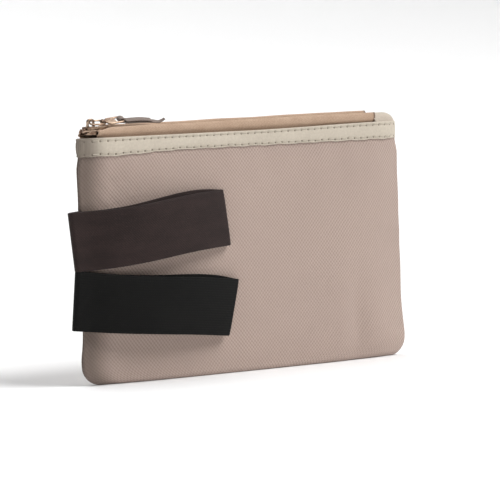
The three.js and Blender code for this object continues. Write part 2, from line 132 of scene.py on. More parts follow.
# Dents and swells in the cloth: how far each stands out, its x and z, and its reach both ways.
DENTS = {
    FRONT: [(-1.5, 66, 25, 6.5, 22), (0.7, 80, 20, 9, 20), (-0.6, -74, 16, 16, 9), (-0.8, -80, 104, 13, 12)],
    BACK: [(-1.1, -52, 34, 8, 26), (-0.7, 70, 88, 22, 10)],
}
PLEATS_AT = (-84, 98, 16, 15)  # the fine pleats above the loops: x, z and reach
PLEAT_PITCH = 1.35
PLEAT_RISE = 0.22
BROAD_SLACK = 0.9
FINE_SLACK = 0.22
PUCKER = 0.22  # of the cloth just under the ribbon
GATHER = 0.28  # of the cloth along the side seams


def half_width(z):
    flare = CORNER_FLARE * math.exp(-(((z - FLARE_HEIGHT) / FLARE_REACH) ** 2))
    drop = clamp(CORNER_RADIUS - z, 0, CORNER_RADIUS)
    nip = MOUTH_NIP * smooth((z - BAND_LOW.z + 8) / 9)
    return BAG_HALF - CORNER_RADIUS + math.sqrt(CORNER_RADIUS**2 - drop**2) + flare - nip


def half_depth(x, z):
    up = clamp(z / BAG_HEIGHT)
    middle = lerp(BASE_HALF_DEPTH, MOUTH_HALF_DEPTH, up) + SWELL * math.sin(math.pi * up)
    squared = clamp((z - SQUARE_FROM) / (BAG_HEIGHT - SQUARE_FROM)) ** 2
    power = lerp(PILLOW_POWER, MOUTH_POWER, squared)
    reach = clamp(abs(x) / half_width(min(z, BAG_HEIGHT)))
    return SEAM_HALF + (middle - SEAM_HALF) * (1 - reach**power)


def hollow(x, z, at_x, at_z, wide, tall):
    """1 at a place on the panel, fading to 0 round it."""
    return math.exp(-(((x - at_x) / wide) ** 2) - ((z - at_z) / tall) ** 2)


def slack(side, x, z):
    """How far the cloth stands out of, or sinks below, its even shape."""
    seed = 11.0 if side == FRONT else 47.0
    broad = noise.noise(Vector((x / 46, z / 40, seed)))
    fine = noise.noise(Vector((x / 17, z / 21, seed + 5)))
    held = smooth((BAG_HALF - abs(x)) / 12) * smooth(z / 10)
    loose = BROAD_SLACK * broad + FINE_SLACK * fine
    under_band = smooth((BAND_LOW.z + 2 - z) / 4) * math.exp(-max(BAND_LOW.z - z, 0) / 9)
    pucker = PUCKER * math.sin(x / 3.1 + 1.3 * math.sin(x / 11)) * under_band
    at_top = smooth((BAG_HEIGHT - z) / 22)
    seam_pull = smooth((12 - (BAG_HALF - abs(x))) / 9) * smooth((z - 6) / 12)
    gather = GATHER * math.sin(z / 3.4 + 0.9 * math.sin(z / 9 + seed)) * seam_pull * at_top
    lift = loose * held * at_top + pucker * held + gather
    for rise, *place in DENTS[side]:
        lift += rise * hollow(x, z, *place)
    if side == FRONT:
        pleat = math.sin((x + z) / PLEAT_PITCH + 1.1 * noise.noise(Vector((x / 12, z / 12, 5.0))))
        lift += PLEAT_RISE * pleat * hollow(x, z, *PLEATS_AT) * held
    return lift


def panel_point(side, share, z):
    """A point of a panel's outer face. share runs from -1 to 1 between the side seams, turn included."""
    width = half_width(z)
    if abs(share) <= FLAT_TO:
        x = share / FLAT_TO * (width - SEAM_ROLL)
        return Vector((x, side * (half_depth(x, z) + slack(side, x, z)), z))
    edge = math.copysign(width - SEAM_ROLL, share)
    turn = (abs(share) - FLAT_TO) / ROLL_SHARE * SEAM_TURN
    x = edge + math.copysign(SEAM_ROLL * math.sin(turn), share)
    inward = (1 - math.cos(turn)) / (1 - math.cos(SEAM_TURN))
    y = lerp(half_depth(edge, z) + slack(side, edge, z), 0.12, inward)
    return Vector((x, side * y, z))


def panel_normal(side, share, z):
    step = 0.004
    left = panel_point(side, clamp(share - step, -1, 1), z)
    right = panel_point(side, clamp(share + step, -1, 1), z)
    across = right - left
    up = panel_point(side, share, min(z + 0.5, BAG_HEIGHT)) - panel_point(side, share, z - 0.5)
    out = across.cross(up).normalized()
    return out if side == FRONT else -out


def share_at(x, z):
    return clamp(x / (half_width(z) - SEAM_ROLL), -1, 1) * FLAT_TO


def marks(shares, side, z):
    """True distances across a panel at a height, from its middle."""
    total = running([panel_point(side, share, z) for share in shares])
    return [t - total[-1] / 2 for t in total]


def panel_columns(count, turn_count=5):
    """Shares across a panel, crowding towards the seams, with a few in each turn."""
    middle = []
    for t in steps(count):
        crowded = CROWDING * math.sin(math.pi * (t - 0.5))
        middle.append(FLAT_TO * (crowded + (1 - CROWDING) * (2 * t - 1)))
    turn = [FLAT_TO + ROLL_SHARE * t for t in steps(turn_count)[1:]]
    return [-s for s in reversed(turn)] + middle + turn


# ---- Mesh building ----
def add_object(name, data):
    obj = bpy.data.objects.new(name, data)
    bpy.context.scene.collection.objects.link(obj)
    return obj


class Shape:
    """A mesh being put together in millimetres, with a cloth coordinate at each corner of each face."""

    def __init__(self):
        self.points = []
        self.faces = []
        self.cloth = []

    def grid(self, rows, us=None, vs=None, closed=False):
        """Joins rows of points into quads. closed also joins each row's last point to its first."""
        start = len(self.points)
        count = len(rows[0])
        for row in rows:
            self.points.extend(row)
        around = count if closed else count - 1
        vs = vs or steps(count)
        us = us or running([row[0] for row in rows])
        for r in range(len(rows) - 1):
            for c in range(around):
                d = (c + 1) % count
                corners = [(r, c, c), (r + 1, c, c), (r + 1, d, c + 1), (r, d, c + 1)]
                self.faces.append([start + row * count + col for row, col, _ in corners])
                self.cloth.append([(us[row], vs[mark]) for row, _, mark in corners])
        return start

    def cap(self, indices, flip=False):
        face = list(reversed(indices)) if flip else list(indices)
        self.faces.append(face)
        self.cloth.append([(self.points[i].x, self.points[i].z) for i in face])

    def sweep(self, frames, section, closed=False):
        """Carries a closed outline along frames of (origin, across, out). Open sweeps get end caps."""
        rows = [[o + a * across + b * out for a, b in section] for o, across, out in frames]
        ring = [Vector((a, b, 0)) for a, b in section]
        vs = running(ring + ring[:1])
        along = running([f[0] for f in frames] + ([frames[0][0]] if closed else []))
        count = len(section)
        start = self.grid(rows + ([rows[0]] if closed else []), along, vs, closed=True)
        if closed:
            return
        self.cap(range(start, start + count))
        last = start + (len(rows) - 1) * count
        self.cap(range(last, last + count), flip=True)

    def piece(self, name, material, sharp=35):
        mesh = bpy.data.meshes.new(name)
        mesh.from_pydata([p * MM for p in self.points], [], self.faces)
        layer = mesh.uv_layers.new(name="cloth")
        flat = [value for face in self.cloth for corner in face for value in corner]
        layer.data.foreach_set("uv", flat)
        tidy = bmesh.new()
        tidy.from_mesh(mesh)
        bmesh.ops.remove_doubles(tidy, verts=tidy.verts, dist=1e-6)
        bmesh.ops.recalc_face_normals(tidy, faces=tidy.faces)
        tidy.to_mesh(mesh)
        tidy.free()
        mesh.shade_smooth()
        mesh.set_sharp_from_angle(angle=math.radians(sharp))
        mesh.materials.append(material)
        return add_object(name, mesh)


def running(points):
    """Distances along a line of points."""
    total = [0.0]
    for before, after in zip(points, points[1:]):
        total.append(total[-1] + (after - before).length)
    return total


def tape_section(width, thick, across_count):
    """The outline of a flat tape with rounded edges, as (across, out) pairs."""
    half, radius = width / 2, thick / 2
    top = [(lerp(-half + radius, half - radius, t), radius) for t in steps(across_count)]
    angles = [math.pi * i / 4 for i in range(1, 4)]
    right = [(half - radius + radius * math.sin(a), radius * math.cos(a)) for a in angles]
    under = [(-x, -y) for x, y in top]
    left = [(-x, -y) for x, y in right]
    return top + right + under + left


def round_section(radius, sides):
    angles = [2 * math.pi * i / sides for i in range(sides)]
    return [(radius * math.cos(a), radius * math.sin(a)) for a in angles]


def framed(points, across):
    """Frames along a line, with a fixed across direction."""
    across = Vector(across).normalized()
    frames = []
    last = len(points) - 1
    for i, point in enumerate(points):
        along = (points[min(i + 1, last)] - points[max(i - 1, 0)]).normalized()
        frames.append((point, across, along.cross(across).normalized()))
    return frames


def curve_through(points, per_span):
    """A smooth line through points."""
    line = []
    last = len(points) - 1
    for i in range(last):
        p0, p1, p2, p3 = (points[int(clamp(k, 0, last))] for k in (i - 1, i, i + 1, i + 2))
        for t in steps(per_span)[:-1]:
            a = 2 * p1 + (p2 - p0) * t
            b = (2 * p0 - 5 * p1 + 4 * p2 - p3) * t**2
            c = (3 * p1 - p0 - 3 * p2 + p3) * t**3
            line.append((a + b + c) / 2)
    return line + [points[-1].copy()]


def thicken(obj, thick):
    """Gives a sheet its thickness, behind the face that was drawn."""
    wall = obj.modifiers.new("cloth thickness", "SOLIDIFY")
    wall.thickness = thick * MM
    wall.offset = -1
    wall.use_quality_normals = True


# ---- How pieces move ----
MOUTH_LEFT = -96.0
MOUTH_RIGHT = 73.0


def mouth_share(point):
    """How far a point of the back half follows the opening mouth: the side seams stay closed."""
    return math.sin(math.pi * clamp((point.x / MM - MOUTH_LEFT) / (MOUTH_RIGHT - MOUTH_LEFT))) ** 1.3


def bend(obj, share):
    """Bakes a piece's placement into its mesh and works out each point's share of the motion between two
    bodies; nothing uses these shares.
    """
    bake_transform(obj)
    weights = [clamp(share(v.co)) for v in obj.data.vertices]


def dress(obj, slot, *nodes):
    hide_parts(*nodes)


def place_half(obj, side):
    """Front pieces ride on the front; back pieces have their placement baked into the mesh, and their share
    of the mouth's opening is worked out but not used.
    """
    if side == FRONT:
        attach(obj, "bag_front")
    else:
        bend(obj, mouth_share)


def side_name(side):
    return "front" if side == FRONT else "back"


# ---- Finishes ----
class Signal:
    """A number flowing through a material. Arithmetic on it adds Math nodes."""

    def __init__(self, finish, socket):
        self.finish = finish
        self.socket = socket

    def math(self, operation, *others):
        return self.finish.add("ShaderNodeMath", {"operation": operation}, dict(enumerate((self, *others))))

    def __add__(self, other):
        return self.math("ADD", other)

    def __mul__(self, other):
        return self.math("MULTIPLY", other)

    def __sub__(self, other):
        return self.math("SUBTRACT", other)

    def __rsub__(self, other):
        return self.finish.add("ShaderNodeMath", {"operation": "SUBTRACT"}, {0: other, 1: self})

    def __truediv__(self, other):
        return self.math("DIVIDE", other)

    def __pow__(self, other):
        return self.math("POWER", other)

    __radd__ = __add__

    def wave(self, period):
        """0 to 1 and back over each period."""
        return (self * (2 * math.pi / period)).math("SINE") * 0.5 + 0.5

    def groove(self):
        """1 on each whole number, falling to 0 half way between."""
        return (self.math("FRACT") - 0.5).math("ABSOLUTE") * 2

    def above(self, low, high):
        """0 below low, 1 above high and smooth between."""
        settings = {"interpolation_type": "SMOOTHSTEP"}
        inputs = {"Value": self, "From Min": low, "From Max": high}
        return self.finish.add("ShaderNodeMapRange", settings, inputs)


class Finish:
    """A procedural material being put together round one Principled shader."""

    def __init__(self, name, **constants):
        self.material = bpy.data.materials.new(name)
        self.material.use_nodes = True
        self.tree = self.material.node_tree
        self.shader = self.tree.nodes["Principled BSDF"]
        self.feed(**constants)

    def add(self, kind, settings=None, inputs=None, output=0):
        node = self.tree.nodes.new(kind)
        for key, value in (settings or {}).items():
            setattr(node, key, value)
        for key, value in (inputs or {}).items():
            self.put(node.inputs[key], value)
        return Signal(self, node.outputs[output])

    def put(self, socket, value):
        if isinstance(value, Signal):
            self.tree.links.new(value.socket, socket)
        else:
            socket.default_value = value

    def cloth(self):
        """The cloth coordinate: millimetres along and across the piece."""
        both = self.add("ShaderNodeUVMap", {"uv_map": "cloth"})
        split = self.tree.nodes.new("ShaderNodeSeparateXYZ")
        self.put(split.inputs[0], both)
        return both, Signal(self, split.outputs[0]), Signal(self, split.outputs[1])

    def place(self):
        return self.add("ShaderNodeTexCoord", output="Object")

    def noise(self, where, scale, detail=3.0):
        inputs = {"Vector": where, "Scale": scale, "Detail": detail, "Roughness": 0.55}
        return self.add("ShaderNodeTexNoise", {"noise_dimensions": "3D"}, inputs)

    def blend(self, factor, low, high):
        """Mixes two colours."""
        inputs = {0: factor, 6: low, 7: high}
        return self.add("ShaderNodeMix", {"data_type": "RGBA", "clamp_factor": True}, inputs, output=2)

    def relief(self, height, depth):
        """A bump of that depth in millimetres."""
        return self.add("ShaderNodeBump", {}, {"Height": height, "Distance": depth * MM, "Strength": 1.0})

    def feed(self, **values):
        """Gives the shader's sockets their values, and hands back the material."""
        for socket, value in values.items():
            self.put(self.shader.inputs[socket.replace("_", " ")], value)
        return self.material


def tint(red, green, blue):
    """A display colour, 0 to 255, as the linear colour a shader takes."""
    def linear(c):
        c = c / 255
        return c / 12.92 if c <= 0.04045 else ((c + 0.055) / 1.055) ** 2.4

    return (linear(red), linear(green), linear(blue), 1.0)


def jacquard():
    """The panels' cloth: pale diamonds of yarn with darker diagonal furrows between them.

    The two sets of furrows take turns to lie deeper, one towards the loops and one towards the far side.
    """
    f = Finish("mauve jacquard", Specular_IOR_Level=0.25, Sheen_Weight=0.15)
    where, u, v = f.cloth()
    wander = (f.noise(where, 0.06) - 0.5) * 0.7 + (f.noise(where, 0.4) - 0.5) * 0.16
    falling = (u / 1.9 + v / 2.3 + wander).groove()
    rising = (u / 1.9 - v / 2.3 - wander).groove()
    turn = (u * 0.006 + f.noise(where, 0.025, 2.0) * 1.6 - 0.35).above(0.0, 1.0)
    furrow = falling.above(0.35, 1.0) * (1 - turn * 0.55) + rising.above(0.35, 1.0) * (turn * 0.4 + 0.5)
    yarn = u.wave(0.42) * 0.5 + v.wave(0.46) * 0.5
    slub = f.noise(where, 0.9, 4.0)
    tone = 0.8 - furrow * 0.5 + slub * 0.35 + yarn * 0.08
    ground = f.blend(tone.above(0.0, 1.25), tint(142, 124, 116), tint(187, 167, 156))
    cloud = f.noise(where, 0.02, 2.0).above(0.3, 0.7)
    colour = f.blend(cloud * 0.3, ground, tint(168, 149, 140))
    # Painted shade: the cloth darkens towards the side seam on the loops' side, standing in for the shadow
    # on that side.
    left_seam_shaded = f.blend((u * -1).above(82.0, 97.0) * 0.8, colour, tint(98, 86, 78))
    relief = f.relief(yarn * 0.15 + slub * 0.15 - furrow * 0.7, 0.13)
    return f.feed(Base_Color=left_seam_shaded, Normal=relief, Roughness=0.8 + slub * 0.15)


def ribbon_weave(name, pale, dark, rib=0.7, holes=None):
    """A grosgrain ribbon: fine ribs across it, and needle holes along its stitch rows darkened with painted
    shade.
    """
    f = Finish(name, Specular_IOR_Level=0.25, Sheen_Weight=0.1)
    where, u, v = f.cloth()
    ribs = u.wave(rib)
    slub = f.noise(where, 0.9, 4.0)
    cloud = f.noise(where, 0.06, 2.0)
    tone = ribs * 0.25 + slub * 0.5 + cloud * 0.4
    colour = f.blend(tone.above(0.2, 0.95), dark, pale)
    if holes:
        along = ((u / holes["pitch"] + 0.5).math("FRACT") - 0.5) * holes["pitch"]
        lower, upper = [(v - row).math("ABSOLUTE") for row in holes["rows"]]
        nearest = lower.math("MINIMUM", upper)
        off = (along / 0.6) ** 2 + (nearest / 0.5) ** 2
        # Painted shade in each needle hole.
        hole_shade = 1 - off.above(0.2, 1.4)
        colour = f.blend(hole_shade * 0.8, colour, tint(104, 94, 80))
        # Painted shade: the ribbon darkens towards its end at the loops' side seam, standing in for the
        # shadow on that side.
        colour = f.blend((u * -1).above(84.0, 96.0) * 0.8, colour, tint(112, 101, 91))
    relief = f.relief(ribs * 0.8 + slub * 0.2, 0.08)
    return f.feed(Base_Color=colour, Normal=relief, Roughness=0.62 + slub * 0.2)


def zip_tape_weave():
    """Herringbone tape, a little rubbed and mottled."""
    f = Finish("zip tape herringbone", Specular_IOR_Level=0.2, Sheen_Weight=0.1)
    where, u, v = f.cloth()
    zigzag = (v / 2.4).groove() * 1.1
    twill = (u / 0.9 + zigzag).groove()
    slub = f.noise(where, 1.1, 4.0)
    cloud = f.noise(where, 0.09, 2.0)
    tone = twill * 0.3 + slub * 0.45 + cloud * 0.3
    cloth = f.blend(tone.above(0.2, 0.9), tint(166, 138, 116), tint(206, 179, 156))
    # Painted shadow: a dark line across the tape's far end, where the end tab's edge stands over it.
    tab_edge_shadow = u.above(TAPE_HIGH.x - 1.6, TAPE_HIGH.x - 0.6)
    colour = f.blend(tab_edge_shadow * 0.75, cloth, tint(88, 70, 58))
    relief = f.relief(twill * 0.7 + slub * 0.3, 0.1)
    return f.feed(Base_Color=colour, Normal=relief, Roughness=0.68 + slub * 0.2)


def lining_weave():
    f = Finish("taupe lining", Specular_IOR_Level=0.3, Sheen_Weight=0.1)
    where, u, v = f.cloth()
    weave = u.wave(0.5) * v.wave(0.5)
    crease = f.noise(where, 0.04, 4.0)
    tone = weave * 0.25 + crease * 0.75
    colour = f.blend(tone, tint(80, 68, 61), tint(116, 102, 93))
    relief = f.relief(weave * 0.1 + crease, 0.5)
    return f.feed(Base_Color=colour, Normal=relief, Roughness=0.5 + crease * 0.2)


def smooth_elastic():
    """The brown loop: a close satin-faced knit with a faint diagonal grain."""
    f = Finish("brown elastic", Specular_IOR_Level=0.2, Sheen_Weight=0.08)
    where, u, v = f.cloth()
    cords = v.wave(1.1)
    twill = (u / 1.3 + v / 1.6).groove()
    slub = f.noise(where, 0.8, 4.0)
    cloud = f.noise(where, 0.045)
    drawn_out = f.add("ShaderNodeVectorMath", {"operation": "MULTIPLY"}, {0: where, 1: (0.25, 1.0, 1.0)})
    streak = f.noise(drawn_out, 0.16)
    tone = cords * 0.05 + twill * 0.2 + slub * 0.4 + cloud * 0.35 + streak.above(0.3, 0.75) * 0.14
    colour = f.blend(tone.above(0.2, 0.95), tint(30, 21, 20), tint(54, 41, 39))
    relief = f.relief(cords * 0.25 + twill * 0.5 + slub * 0.25, 0.08)
    return f.feed(Base_Color=colour, Normal=relief, Roughness=0.66 + slub * 0.2)


def ribbed_elastic():
    """The black loop: a knit with small raised knots between cross ribs."""
    f = Finish("black elastic", Specular_IOR_Level=0.16, Sheen_Weight=0.05)
    where, u, v = f.cloth()
    ribs = u.wave(0.95)
    cords = v.wave(1.25)
    slub = f.noise(where, 0.9, 4.0)
    cloud = f.noise(where, 0.05)
    knot = ribs * cords
    tone = knot * 0.35 + slub * 0.4 + cloud * 0.3
    colour = f.blend(tone.above(0.15, 0.9), tint(7, 7, 7), tint(21, 21, 19))
    relief = f.relief(knot * 0.8 + slub * 0.2, 0.12)
    return f.feed(Base_Color=colour, Normal=relief, Roughness=0.7 + slub * 0.2)


def thread_twist(name, pale, dark):
    """Twisted sewing thread."""
    f = Finish(name, Specular_IOR_Level=0.4, Sheen_Weight=0.1)
    _, u, v = f.cloth()
    twist = (u / 0.5 + v / 0.9).groove()
    colour = f.blend(twist, dark, pale)
    return f.feed(Base_Color=colour, Normal=f.relief(twist, 0.05), Roughness=0.5 + twist * 0.2)


def nylon():
    """The coils' moulded nylon, with a faint milky mottle."""
    f = Finish("tan nylon coil")
    mottle = f.noise(f.place(), 900.0)
    colour = f.blend(mottle, tint(170, 143, 120), tint(201, 176, 152))
    return f.feed(Base_Color=colour, Roughness=0.34 + mottle * 0.18)


def lacquered_metal():
    """Champagne lacquer over zinc, rubbed brighter in places and finely scratched."""
    f = Finish("champagne metal", Metallic=0.85, Coat_Roughness=0.15)
    where = f.place()
    rubbed = f.noise(where, 260.0, 4.0).above(0.42, 0.68)
    scratch = f.noise(where, 2400.0, 2.0).above(0.55, 0.8)
    colour = f.blend(rubbed * 0.7, tint(122, 95, 76), tint(204, 180, 156))
    f.feed(Roughness=0.42 - rubbed * 0.14 + scratch * 0.12, Coat_Weight=0.35 - rubbed * 0.25)
    return f.feed(Base_Color=colour, Normal=f.relief(scratch, 0.01))


def studio_paper():
    f = Finish("studio paper", Roughness=0.9, Specular_IOR_Level=0.1)
    grain = f.noise(f.place(), 60.0, 2.0)
    return f.feed(Base_Color=f.blend(grain * 0.2, (0.95, 0.95, 0.95, 1.0), (0.92, 0.92, 0.92, 1.0)))


RIBBON_FACE = BAND_HIGH.z - BAND_LOW.z - BAND_SUNK - BAND_TRIM - BAND_THICK
HOLES = {"pitch": STITCH_PITCH, "rows": [share * RIBBON_FACE for share in ROW_SHARES]}
JACQUARD = jacquard()
CREAM_RIBBON = ribbon_weave("cream ribbon", tint(210, 200, 184), tint(183, 172, 157), holes=HOLES)
TAB_RIBBON = ribbon_weave("cream tab ribbon", tint(203, 191, 176), tint(176, 163, 149))
TAIL_RIBBON = ribbon_weave("taupe ribbon", tint(146, 132, 124), tint(108, 95, 88), rib=0.55)
ZIP_TAPE = zip_tape_weave()
LINING = lining_weave()
BROWN_ELASTIC = smooth_elastic()
BLACK_ELASTIC = ribbed_elastic()
CREAM_THREAD = thread_twist("cream thread", tint(206, 197, 181), tint(164, 154, 139))
NYLON = nylon()
METAL = lacquered_metal()


# ---- Panels and linings ----
def wall_rows(side, share, roll, inward):
    """A panel's line at one place across it: round the turn at the base, then up the wall."""
    points = []
    for t in steps(6):
        angle = math.pi / 2 * t
        z = roll * (1 - math.cos(angle))
        wall = panel_point(side, share, z)
        points.append(Vector((wall.x, wall.y - side * inward * (1 - math.sin(angle)), z)))
    heights = [lerp(roll, CLOTH_TOP, t**1.25) for t in steps(74)[1:]]
    return points + [panel_point(side, share, z) for z in heights]


def front_rows(share):
    """The front panel's line at one place across it: the base from its back edge, then up the front."""
    points = []
    bottom = panel_point(FRONT, share, 0.0)
    depth = -bottom.y
    roll = min(HEM_ROLL, 0.8 * depth)
    back_edge = max(depth - 0.7, roll - depth + 0.05)
    for t in steps(7)[:-1]:
        points.append(Vector((bottom.x, lerp(back_edge, -depth + roll, t), 0.0)))
    points += wall_rows(FRONT, share, roll, roll)
    # The cloth's curl inside the seam stops above the base, so that it never hangs through it.
    widest = 1 - ROLL_SHARE * (1 - math.pi / 2 / SEAM_TURN)
    tuck = (PANEL_THICK + 0.1) * smooth((abs(share) - widest) / 0.004)
    for point in points:
        point.z = max(point.z, tuck)
    return points


def back_rows(share):
    roll = min(HEM_ROLL, 0.8 * panel_point(BACK, share, 0.0).y)
    return wall_rows(BACK, share, roll, roll - 0.5)


def panel(side):
    shape = Shape()
    shares = panel_columns(110)
    rows_at = front_rows if side == FRONT else back_rows
    lines = [rows_at(share) for share in shares]
    shape.grid(lines, marks(shares, side, BAG_HEIGHT / 2), running(lines[len(lines) // 2]))
    name = side_name(side)
    obj = shape.piece(name + "_panel_cloth", JACQUARD, sharp=70)
    thicken(obj, PANEL_THICK)
    dress(obj, "outer_fabric", name + "_panel")
    place_half(obj, side)


def lining(side):
    shape = Shape()
    name = side_name(side)
    low, high = box_mm(name + "_lining")
    inset = PANEL_THICK + 0.5
    floor_z = low.z + 0.3
    lines = []
    shares = [lerp(-0.94, 0.94, t) for t in steps(60)]
    for share in shares:
        wall = [panel_point(side, share, lerp(floor_z, high.z, t)) for t in steps(40)]
        line = [Vector((p.x * 0.99, p.y - side * inset, p.z)) for p in wall]
        if side == FRONT:
            y0 = -line[0].y - 0.4
            line = [Vector((line[0].x, lerp(y0, line[0].y, t), floor_z)) for t in steps(6)[:-1]] + line
        lines.append(line)
    for line in lines:
        for p in line:
            ripple = 0.3 * noise.noise(Vector((p.x / 9, p.z / 14, 3.0 + side)))
            p.y -= side * (0.3 + ripple)
    shape.grid(lines, [s * BAG_HALF for s in shares], running(lines[30]))
    obj = shape.piece(name + "_lining_cloth", LINING, sharp=70)
    thicken(obj, 0.3)
    dress(obj, "lining_fabric", name + "_lining")
    place_half(obj, side)


# ---- Ribbon and stitches ----
def band_height(x, share):
    """A height on the ribbon, which narrows at mid-width, between its lower edge and its fold."""
    foot = BAND_LOW.z + BAND_TRIM - BAND_DROOP * smooth((-x - 40) / 45)
    crest = BAND_HIGH.z - BAND_SUNK * (1 - smooth(x / 90))
    return lerp(foot + BAND_THICK / 2, crest - BAND_THICK / 2, share)


def hole_near(x, z, rows):
    """1 in the middle of a needle hole, fading to 0 round it."""
    off = (x / STITCH_PITCH + 0.5) % 1 - 0.5
    across = min(abs(z - row) for row in rows)
    return math.exp(-((off * STITCH_PITCH / HOLE_LENGTH) ** 2) - (across / HOLE_WIDTH) ** 2)


def band_lift(x, z):
    """How far the ribbon's middle lies out of the panel, quilted by the two stitch rows."""
    rows = [band_height(x, share) for share in ROW_SHARES]
    reach = (rows[1] - rows[0]) / 2
    plump = RIBBON_PLUMP * clamp(1 - ((z - rows[0] - reach) / reach) ** 2)
    row = ROW_DIP * math.exp(-(min(abs(z - up) for up in rows) ** 2))
    return BAND_THICK / 2 + 0.1 + plump - row - HOLE_DEPTH * hole_near(x, z, rows)


def ribbon_band(side):
    """The ribbon along a panel's mouth, folded over its top edge."""
    shape = Shape()
    shares = panel_columns(420, 6)
    radius = BAND_THICK / 2
    fold_turns = [math.pi * t for t in steps(4)]
    lines = []
    for share in shares:
        line = []
        wave = 0.14 * math.sin(share * 41) + 0.1 * math.sin(share * 97 + 1)
        place = panel_point(side, share, BAND_LOW.z).x
        for t in steps(26):
            z = band_height(place, t)
            out = panel_normal(side, share, z)
            base = panel_point(side, share, z)
            rise = (band_lift(base.x, z) + radius) * lerp(1, 0.4, smooth((share - 0.955) / 0.03))
            line.append(base + out * rise + Vector((0, 0, wave * (1 - t))))
        out = panel_normal(side, share, band_height(place, 1))
        fold_centre = line[-1] - out * (radius + FOLD_SLACK)
        for angle in fold_turns[1:]:
            turn = out * math.cos(angle) * (radius + FOLD_SLACK)
            line.append(fold_centre + turn + Vector((0, 0, math.sin(angle) * (radius + 0.25))))
        lines.append(line)
    shape.grid(lines, marks(shares, side, BAND_LOW.z), running(lines[len(lines) // 2]))
    name = side_name(side)
    obj = shape.piece(name + "_ribbon", CREAM_RIBBON, sharp=60)
    thicken(obj, 0.5)
    dress(obj, "ribbon", name + "_ribbon_band")
    place_half(obj, side)


def stitch(shape, side, x, row):
    """One stitch from hole to hole, dipping into the ribbon at both ends."""
    half = (STITCH_PITCH - STITCH_GAP) / 2
    points = []
    for t in steps(10):
        at = x + lerp(-half, half, t)
        z = band_height(at, row)
        share = share_at(at, z)
        rise = 0.12 * math.sin(math.pi * t) ** 0.5
        lift = band_lift(at, z) + BAND_THICK / 2 + rise
        points.append(panel_point(side, share, z) + panel_normal(side, share, z) * lift)
    shape.sweep(framed(points, (0, 0, 1)), round_section(THREAD_RADIUS, 6))


def stitch_row(side, row, node):
    shape = Shape()
    count = int((BAG_HALF - 4) / STITCH_PITCH)
    for i in range(-count, count):
        stitch(shape, side, (i + 0.5) * STITCH_PITCH, row + 0.005 * math.sin(i * 1.7))
    obj = shape.piece(node + "_thread", CREAM_THREAD)
    dress(obj, "thread", node)
    place_half(obj, side)


# ---- Zip ----
CHAIN_Z = (COIL_LOW.z + COIL_HIGH.z) / 2
CHAIN_HALF = -COIL_LOW.y
COIL_PITCH = 1.36
COIL_WIRE = 0.3
COIL_OVERLAP = 0.42  # how far each coil's turns reach past the middle
TURN_POINTS = 14  # on each turn of a coil
TAPE_THICK = 0.55
RIDGE_RISE = 4.45  # the tape's ridge, above the panel's top edge
RIDGE_CLIMB = 0.9  # how much more the ridge rises towards the zip's far end
BACK_RIDGE_RISE = 0.45  # and on the back
RIDGE_OUT = 5.8
RIDGE_IN = 4.3
RIDGE_SLOPE = 16.5  # the length over which it rises
FRONT_RIDGE_LEFT = -88.6
LIP_EDGE = CHAIN_HALF + 0.1


def tape_line(side, x):
    """The tape's profile at one place along it: up behind the panel, over the ridge and down to the coil."""
    hidden = half_depth(x, BAG_HEIGHT) - PANEL_THICK - 0.8
    waver = 0.3 * noise.noise(Vector((x / 17, 3.3, side)))
    out = min(RIDGE_OUT, hidden + 2.2) + waver
    inner = min(RIDGE_IN, out - 1.2)
    sunk = clamp((x + BAG_HALF - 1.5) / RIDGE_SLOPE)
    ridge = BAG_HEIGHT + RIDGE_RISE * sunk + RIDGE_CLIMB * smooth((x + 60) / 130)
    ridge += 0.25 * noise.noise(Vector((x / 23, 9.1, side)))
    ridge += BACK_RIDGE_RISE * sunk if side == BACK else 0.0
    wall = max(ridge - BAG_HEIGHT, 0.6)
    valley = lerp(ridge, CHAIN_Z, 0.6)
    profile = [
        (hidden - 0.1, BAG_HEIGHT - 11),
        (hidden - 0.1, BAG_HEIGHT - 4),
        (hidden, BAG_HEIGHT - 0.8),
        (lerp(hidden, out, 0.75), BAG_HEIGHT + 0.25 * wall),
        (out, BAG_HEIGHT + 0.6 * wall),
        (out - 0.15, BAG_HEIGHT + 0.86 * wall),
        (lerp(out, inner, 0.5), ridge),
        (inner + 0.05, lerp(ridge, valley, 0.45)),
        (inner, valley),
        (min(inner - 0.25, 3.8), CHAIN_Z + 0.25),
        (LIP_EDGE, CHAIN_Z + 0.1),
    ]
    return [Vector((x, side * y, z)) for y, z in profile]


def zip_tape(side):
    """The front's ridge stops short of the slider, where only its lip runs on; the back's sinks away."""
    shape = Shape()
    name = side_name(side)
    ridge_left = FRONT_RIDGE_LEFT if side == FRONT else TAPE_LOW.x
    xs = [lerp(ridge_left, TAPE_HIGH.x, t) for t in steps(150)]
    lines = [curve_through(tape_line(side, x), 4) for x in xs]
    shape.grid(lines, xs, running(lines[75]))
    if side == FRONT:
        tongue = [lerp(TAPE_LOW.x, ridge_left, t) for t in steps(8)]
        lip = [(3.75, CHAIN_Z + 0.25), (3.1, CHAIN_Z + 0.2), (LIP_EDGE, CHAIN_Z + 0.1)]
        lines = [[Vector((x, side * y, z)) for y, z in lip] for x in tongue]
        shape.grid(lines, tongue, [12.0, 13.0, 14.0])
    obj = shape.piece(name + "_tape", ZIP_TAPE, sharp=70)
    thicken(obj, TAPE_THICK)
    dress(obj, "zip_tape", name + "_zip_tape")
    place_half(obj, side)


